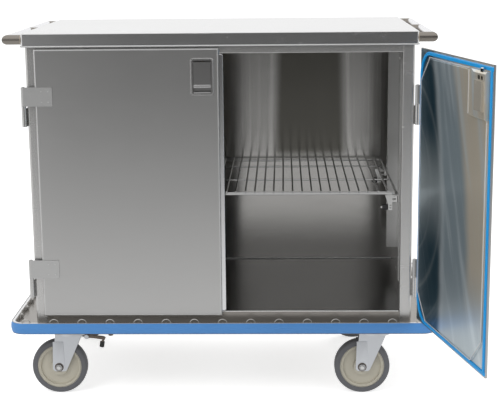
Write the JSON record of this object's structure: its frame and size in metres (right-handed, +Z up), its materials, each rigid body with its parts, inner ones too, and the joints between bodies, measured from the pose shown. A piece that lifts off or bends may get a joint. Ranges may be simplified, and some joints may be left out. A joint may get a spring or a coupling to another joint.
{
  "type": "sealed case cart",
  "caption": "Enclosed stainless steel cart on swivel casters, with gasketed double doors, paddle latches, a wire shelf, side push handles and a blue bumper.",
  "frame": {"origin": "on the floor at the centre of the cabinet", "axes": "+X to the right seen from the front, +Y from the doors to the back, +Z up"},
  "size_m": [1.2127, 1.1365, 0.998],
  "materials": {
    "stainless": "satin brushed stainless steel",
    "stainless_top": "satin brushed stainless steel, top sheet",
    "polished_stainless": "smooth stainless steel that mirrors what stands near",
    "tube_stainless": "smooth stainless tube",
    "channel_aluminium": "plain extruded aluminium",
    "bright_fixings": "bright plated steel",
    "bright_wire": "bright wire",
    "latch_metal": "satin stainless pressing",
    "zinc": "pale zinc plated pressing",
    "dark_bolts": "dark oiled steel",
    "bumper_blue": "blue vinyl",
    "gasket_blue": "bright blue soft seal",
    "tyre_grey": "grey non-marking rubber",
    "hub_beige": "warm grey moulded hub",
    "black_plastic": "black ribbed plastic"
  },
  "bodies": {
    "cart": {"top_panel": "stainless_top", "right_front_post": "stainless", "left_front_post": "stainless", "right_side_panel": "stainless", "left_side_panel": "stainless", "back_panel": "polished_stainless", "header": "stainless", "sill": "polished_stainless", "cabinet_floor": "polished_stainless", "base_deck": "polished_stainless", "bumper_channel": "channel_aluminium", "bumper": "bumper_blue", "bumper_fixings": "bright_fixings", "cross_members": "stainless", "caster_plates": "zinc", "underside_bolts": "dark_bolts", "handle_tubes": "tube_stainless", "handle_stubs": "tube_stainless", "fixed_hinge_knuckles": "stainless", "hinge_pins": "bright_fixings", "shelf_standards": "stainless", "shelf_clips": "bright_fixings", "shelf_clip_knobs": "black_plastic"},
    "shelf": {"shelf_frame": "bright_wire", "shelf_wires": "bright_wire"},
    "left_door": {"left_door_skin": "stainless", "left_door_pan": "stainless", "left_door_gasket": "gasket_blue", "left_latch_housing": "latch_metal", "left_hinge_straps": "stainless", "left_latch_cover": "stainless", "left_door_astragal": "channel_aluminium"},
    "left_paddle": {"left_latch_paddle": "latch_metal"},
    "left_bolt": {"left_latch_bolt": "bright_fixings"},
    "right_door": {"right_door_skin": "stainless", "right_door_pan": "stainless", "right_door_gasket": "gasket_blue", "right_latch_housing": "latch_metal", "right_hinge_straps": "stainless", "right_latch_cover": "stainless"},
    "right_paddle": {"right_latch_paddle": "latch_metal"},
    "right_bolt": {"right_latch_bolt": "bright_fixings"},
    "front_left_fork": {"front_left_caster_fork": "zinc", "front_left_caster_axle": "dark_bolts"},
    "front_left_wheel": {"front_left_caster_hub": "hub_beige", "front_left_caster_tyre": "tyre_grey"},
    "front_right_fork": {"front_right_caster_fork": "zinc", "front_right_caster_axle": "dark_bolts"},
    "front_right_wheel": {"front_right_caster_hub": "hub_beige", "front_right_caster_tyre": "tyre_grey"},
    "rear_left_fork": {"rear_left_caster_fork": "zinc", "rear_left_caster_axle": "dark_bolts"},
    "rear_left_wheel": {"rear_left_caster_hub": "hub_beige", "rear_left_caster_tyre": "tyre_grey"},
    "rear_right_fork": {"rear_right_caster_fork": "zinc", "rear_right_caster_axle": "dark_bolts"},
    "rear_right_wheel": {"rear_right_caster_hub": "hub_beige", "rear_right_caster_tyre": "tyre_grey"},
    "lock_lever": {"lock_lever_arm": "dark_bolts", "lock_lever_grip": "black_plastic"}
  },
  "joints": [
    {"name": "right_door_hinge", "type": "hinge", "parent": "cart", "child": "right_door", "pos_m": [0.516, -0.299, 0.6], "axis": [0, 0, 1], "range_deg": [-102.9, 162.1]},
    {"name": "left_door_hinge", "type": "hinge", "parent": "cart", "child": "left_door", "pos_m": [-0.516, -0.299, 0.6], "axis": [0, 0, -1], "range_deg": [0, 265]},
    {"name": "right_paddle_hinge", "type": "hinge", "parent": "right_door", "child": "right_paddle", "pos_m": [0.61867, -0.75848, 0.9168], "axis": [0.2233, -0.9748, 0], "range_deg": [0, 35], "stiffness_Nm_per_rad": 0.25, "springref_deg": -14.32},
    {"name": "left_paddle_hinge", "type": "hinge", "parent": "left_door", "child": "left_paddle", "pos_m": [-0.0452, -0.2965, 0.9168], "axis": [-1, 0, 0], "range_deg": [0, 35], "stiffness_Nm_per_rad": 0.25, "springref_deg": -14.32},
    {"name": "right_bolt_slide", "type": "slide", "parent": "right_door", "child": "right_bolt", "axis": [0, 0, -1], "range_m": [0, 0.0063]},
    {"name": "left_bolt_slide", "type": "slide", "parent": "left_door", "child": "left_bolt", "axis": [0, 0, -1], "range_m": [0, 0.0063]},
    {"name": "shelf_lift", "type": "slide", "parent": "cart", "child": "shelf", "axis": [0, 0, 1], "range_m": [0, 0.025]},
    {"name": "front_left_swivel", "type": "hinge", "parent": "cart", "child": "front_left_fork", "pos_m": [-0.419, -0.2465, 0.18], "axis": [0, 0, 1], "continuous": true},
    {"name": "front_left_wheel_spin", "type": "hinge", "parent": "front_left_fork", "child": "front_left_wheel", "pos_m": [-0.4575, -0.2465, 0.0762], "axis": [0, 1, 0], "continuous": true},
    {"name": "front_right_swivel", "type": "hinge", "parent": "cart", "child": "front_right_fork", "pos_m": [0.419, -0.2465, 0.18], "axis": [0, 0, 1], "continuous": true},
    {"name": "front_right_wheel_spin", "type": "hinge", "parent": "front_right_fork", "child": "front_right_wheel", "pos_m": [0.3805, -0.2465, 0.0762], "axis": [0, 1, 0], "continuous": true},
    {"name": "rear_left_swivel", "type": "hinge", "parent": "cart", "child": "rear_left_fork", "pos_m": [-0.419, 0.2465, 0.18], "axis": [0, 0, 1], "continuous": true},
    {"name": "rear_left_wheel_spin", "type": "hinge", "parent": "rear_left_fork", "child": "rear_left_wheel", "pos_m": [-0.4575, 0.2465, 0.0762], "axis": [0, 1, 0], "continuous": true},
    {"name": "rear_right_swivel", "type": "hinge", "parent": "cart", "child": "rear_right_fork", "pos_m": [0.419, 0.2465, 0.18], "axis": [0, 0, 1], "continuous": true},
    {"name": "rear_right_wheel_spin", "type": "hinge", "parent": "rear_right_fork", "child": "rear_right_wheel", "pos_m": [0.3805, 0.2465, 0.0762], "axis": [0, 1, 0], "continuous": true},
    {"name": "lock_lever_hinge", "type": "hinge", "parent": "cart", "child": "lock_lever", "pos_m": [-0.3705, -0.3105, 0.18], "axis": [0, 1, 0], "range_deg": [0, 20]}
  ],
  "couplings": [
    {"joint": "right_bolt_slide", "follows": "right_paddle_hinge", "m_per_rad": 0.01},
    {"joint": "left_bolt_slide", "follows": "left_paddle_hinge", "m_per_rad": 0.01}
  ]
}
